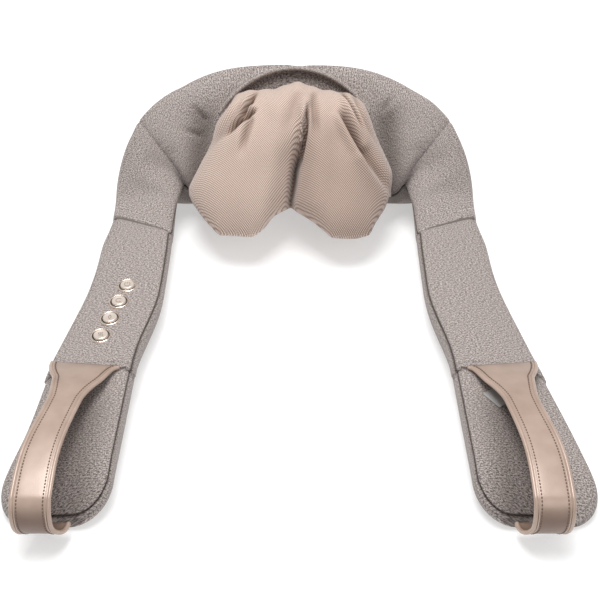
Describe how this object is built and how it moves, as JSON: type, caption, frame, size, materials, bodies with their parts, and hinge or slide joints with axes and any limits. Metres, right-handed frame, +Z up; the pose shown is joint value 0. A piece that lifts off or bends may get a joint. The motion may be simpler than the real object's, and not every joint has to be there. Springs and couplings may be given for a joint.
{
  "type": "shiatsu neck massager",
  "caption": "Padded U-shaped neck and shoulder massager with a kneading unit under a pleated cover, push buttons on one arm and a leather hand strap on each arm end.",
  "frame": {"origin": "middle of the bounding box, at the level of the table it lies on", "axes": "+X towards the wearer's arm without controls, +Y from the arm ends towards the neck end, +Z up"},
  "size_m": [0.506, 0.5396, 0.1579],
  "materials": {
    "beige_cover": "matte",
    "bezel_metal": "satin",
    "black_plastic": "matte",
    "board": "satin",
    "bronze": "satin",
    "button_plastic": "satin",
    "gear_plastic": "satin",
    "grey_cover": "matte",
    "label": "satin",
    "lamp": "gloss",
    "node_plastic": "satin",
    "steel": "satin",
    "strap_leather": "gloss"
  },
  "bodies": {
    "neck": {"neck_pad": "grey_cover", "rear_housing": "black_plastic", "front_housing": "black_plastic", "screw_post_1": "black_plastic", "screw_post_2": "black_plastic", "screw_post_3": "black_plastic", "screw_post_4": "black_plastic", "case_screw_1": "steel", "case_screw_2": "steel", "case_screw_3": "steel", "case_screw_4": "steel", "idler_axle": "steel", "gearbox_case": "black_plastic", "motor_can": "steel", "main_board": "board", "heat_lamp": "lamp", "bearing_left": "bronze", "bearing_right": "bronze", "massage_cover": "beige_cover", "arch_hem": "grey_cover", "power_socket": "black_plastic"},
    "drive_gear": {"drive_gear": "gear_plastic", "drive_shaft": "steel"},
    "idler_gear": {"idler_gear": "gear_plastic"},
    "rotor_left": {"rotor_gear_left": "gear_plastic", "output_shaft_left": "steel", "rotor_arm_left": "black_plastic", "node_axle_left_upper": "steel", "node_axle_left_lower": "steel"},
    "massage_node_left_upper": {"massage_node_left_upper": "node_plastic"},
    "massage_node_left_lower": {"massage_node_left_lower": "node_plastic"},
    "rotor_right": {"rotor_gear_right": "gear_plastic", "output_shaft_right": "steel", "rotor_arm_right": "black_plastic", "node_axle_right_upper": "steel", "node_axle_right_lower": "steel"},
    "massage_node_right_upper": {"massage_node_right_upper": "node_plastic"},
    "massage_node_right_lower": {"massage_node_right_lower": "node_plastic"},
    "arm_left": {"arm_pad_left": "grey_cover", "control_base": "black_plastic", "key_board": "board", "control_lid": "black_plastic", "bezel_1": "bezel_metal", "bezel_2": "bezel_metal", "bezel_3": "bezel_metal", "bezel_4": "bezel_metal", "hand_strap_left": "strap_leather"},
    "arm_right": {"arm_pad_right": "grey_cover", "hand_strap_right": "strap_leather", "care_label": "label"},
    "button_1": {"button_1": "button_plastic"},
    "button_2": {"button_2": "button_plastic"},
    "button_3": {"button_3": "button_plastic"},
    "button_4": {"button_4": "button_plastic"}
  },
  "joints": [
    {"name": "rotor_left_spin", "type": "hinge", "parent": "neck", "child": "rotor_left", "pos_m": [-0.0555, 0.17873, 0.06701], "axis": [0, -0.809, 0.5878], "continuous": true},
    {"name": "rotor_right_spin", "type": "hinge", "parent": "neck", "child": "rotor_right", "pos_m": [0.0555, 0.17873, 0.06701], "axis": [0, -0.809, 0.5878], "continuous": true},
    {"name": "drive_gear_spin", "type": "hinge", "parent": "neck", "child": "drive_gear", "pos_m": [-0.015, 0.17873, 0.06701], "axis": [0, -0.809, 0.5878], "continuous": true},
    {"name": "idler_gear_spin", "type": "hinge", "parent": "neck", "child": "idler_gear", "pos_m": [0.015, 0.17873, 0.06701], "axis": [0, -0.809, 0.5878], "continuous": true},
    {"name": "massage_node_left_upper_spin", "type": "hinge", "parent": "rotor_left", "child": "massage_node_left_upper", "pos_m": [-0.0555, 0.19313, 0.08683], "axis": [0, -0.809, 0.5878], "continuous": true},
    {"name": "massage_node_left_lower_spin", "type": "hinge", "parent": "rotor_left", "child": "massage_node_left_lower", "pos_m": [-0.0555, 0.16433, 0.04719], "axis": [0, -0.809, 0.5878], "continuous": true},
    {"name": "massage_node_right_upper_spin", "type": "hinge", "parent": "rotor_right", "child": "massage_node_right_upper", "pos_m": [0.0555, 0.19313, 0.08683], "axis": [0, -0.809, 0.5878], "continuous": true},
    {"name": "massage_node_right_lower_spin", "type": "hinge", "parent": "rotor_right", "child": "massage_node_right_lower", "pos_m": [0.0555, 0.16433, 0.04719], "axis": [0, -0.809, 0.5878], "continuous": true},
    {"name": "arm_left_fold", "type": "hinge", "parent": "neck", "child": "arm_left", "pos_m": [-0.166, 0.11726, 0.018], "axis": [-1, 0, 0], "range_deg": [-10, 10], "stiffness_Nm_per_rad": 1.5},
    {"name": "arm_right_fold", "type": "hinge", "parent": "neck", "child": "arm_right", "pos_m": [0.166, 0.11726, 0.018], "axis": [-1, 0, 0], "range_deg": [-10, 10], "stiffness_Nm_per_rad": 1.5},
    {"name": "button_1_press", "type": "slide", "parent": "arm_left", "child": "button_1", "axis": [0, 0, -1], "range_m": [0, 0.001], "stiffness_N_per_m": 600},
    {"name": "button_2_press", "type": "slide", "parent": "arm_left", "child": "button_2", "axis": [0, 0, -1], "range_m": [0, 0.001], "stiffness_N_per_m": 600},
    {"name": "button_3_press", "type": "slide", "parent": "arm_left", "child": "button_3", "axis": [0, 0, -1], "range_m": [0, 0.001], "stiffness_N_per_m": 600},
    {"name": "button_4_press", "type": "slide", "parent": "arm_left", "child": "button_4", "axis": [0, 0, -1], "range_m": [0, 0.001], "stiffness_N_per_m": 600}
  ],
  "couplings": [
    {"joint": "rotor_right_spin", "follows": "rotor_left_spin", "ratio": -1},
    {"joint": "drive_gear_spin", "follows": "rotor_left_spin", "ratio": -1.7},
    {"joint": "idler_gear_spin", "follows": "rotor_left_spin", "ratio": 1.7}
  ]
}
